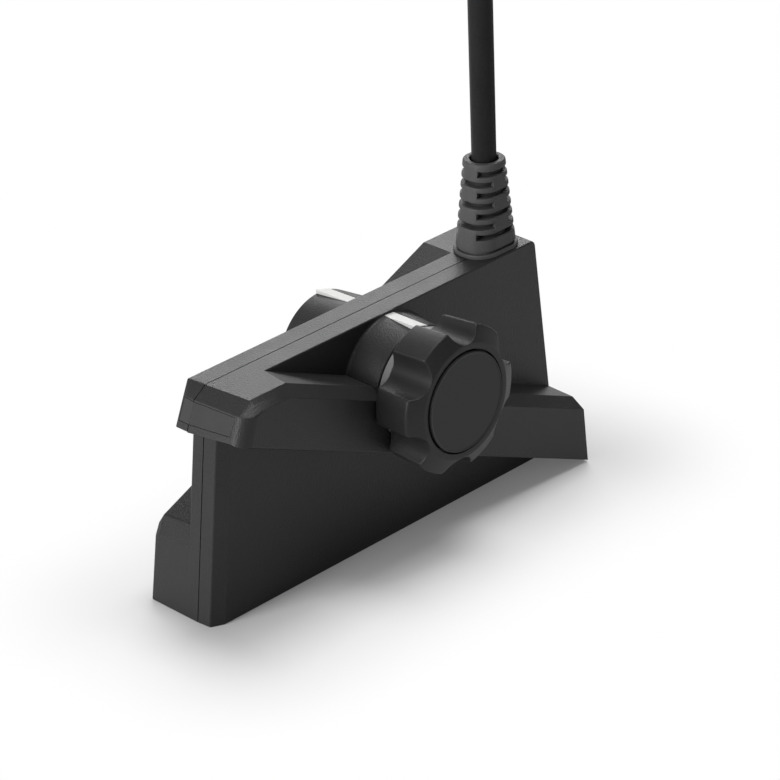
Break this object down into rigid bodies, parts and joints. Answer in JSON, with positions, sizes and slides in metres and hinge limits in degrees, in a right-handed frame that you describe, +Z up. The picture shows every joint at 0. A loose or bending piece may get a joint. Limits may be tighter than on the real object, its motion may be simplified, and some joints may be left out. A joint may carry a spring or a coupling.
{
  "type": "sonar transducer",
  "caption": "Sonar transducer: flat moulded body with a slanting array wing on each side, a hub with a scalloped clamp knob, and a cable with its plug.",
  "frame": {"origin": "middle of the slab's base, on the seam, on the surface it stands on", "axes": "+X along the slab towards the cable end, -Y towards the knob, +Z up"},
  "size_m": [0.4147, 0.0805, 0.2118],
  "materials": {
    "housing_plastic": "fine-grained black moulding",
    "inlay_plastic": "smooth matte black",
    "index_white": "white",
    "boot_rubber": "soft dark grey rubber",
    "seal_rubber": "black rubber",
    "knob_plastic": "fine-grained black moulding",
    "cap_plastic": "smooth matte black",
    "bushing_brass": "turned",
    "bolt_steel": "stainless, turned",
    "washer_nylon": "grey nylon",
    "board_green": "solder mask",
    "chip_black": "moulded package",
    "connector_white": "moulded",
    "flex_amber": "polyimide",
    "cable_rubber": "satin black jacket",
    "wire_copper": "insulated cores",
    "clamp_nylon": "black nylon",
    "plug_plastic": "moulded black",
    "collar_metal": "anodised, knurled",
    "contact_gold": "gold plated",
    "matching_epoxy": "cast filled epoxy",
    "element_ceramic": "fired ceramic, silvered",
    "backing_epoxy": "cast filled epoxy"
  },
  "bodies": {
    "housing": {"array_connectors": "connector_white", "cable_clamp": "clamp_nylon", "cable_end_inside": "cable_rubber", "cable_gland": "seal_rubber", "cable_header": "connector_white", "circuit_board": "board_green", "clamp_screws": "bolt_steel", "cord_hank": "cable_rubber", "cord_run": "cable_rubber", "cord_tail": "cable_rubber", "core_wires": "wire_copper", "driver_chips": "chip_black", "far_array_backing": "backing_epoxy", "far_array_elements": "element_ceramic", "far_array_matching_layer": "matching_epoxy", "far_flex": "flex_amber", "front_inlay": "inlay_plastic", "housing_far": "housing_plastic", "housing_near": "housing_plastic", "hub_sleeve": "bolt_steel", "index_line_far": "index_white", "index_line_near": "index_white", "keel_array_backing": "backing_epoxy", "keel_array_elements": "element_ceramic", "keel_array_matching_layer": "matching_epoxy", "keel_flex": "flex_amber", "near_array_backing": "backing_epoxy", "near_array_elements": "element_ceramic", "near_array_matching_layer": "matching_epoxy", "near_flex": "flex_amber", "plug_body": "plug_plastic", "plug_boot": "boot_rubber", "plug_insulator": "clamp_nylon", "plug_pins": "contact_gold", "processor_chip": "chip_black", "seam_gasket": "seal_rubber", "sleeve_seal_far": "seal_rubber", "sleeve_seal_near": "seal_rubber", "strain_relief_boot": "boot_rubber"},
    "knob_carriage": {"thrust_washer": "washer_nylon"},
    "knob": {"knob": "knob_plastic", "knob_cap": "cap_plastic", "knob_bushing": "bushing_brass", "clamp_bolt": "bolt_steel", "retaining_ring": "bolt_steel"},
    "plug_lock": {"plug_collar": "collar_metal"}
  },
  "joints": [
    {"name": "knob_draw", "type": "slide", "parent": "housing", "child": "knob_carriage", "axis": [0, -1, 0], "range_m": [0, 0.004]},
    {"name": "knob_turn", "type": "hinge", "parent": "knob_carriage", "child": "knob", "pos_m": [0.0008, 0, 0.0532], "axis": [0, -1, 0], "continuous": true},
    {"name": "collar_turn", "type": "hinge", "parent": "housing", "child": "plug_lock", "pos_m": [0.224, 0.01425, 0.054], "axis": [-1, 0, 0], "continuous": true}
  ]
}
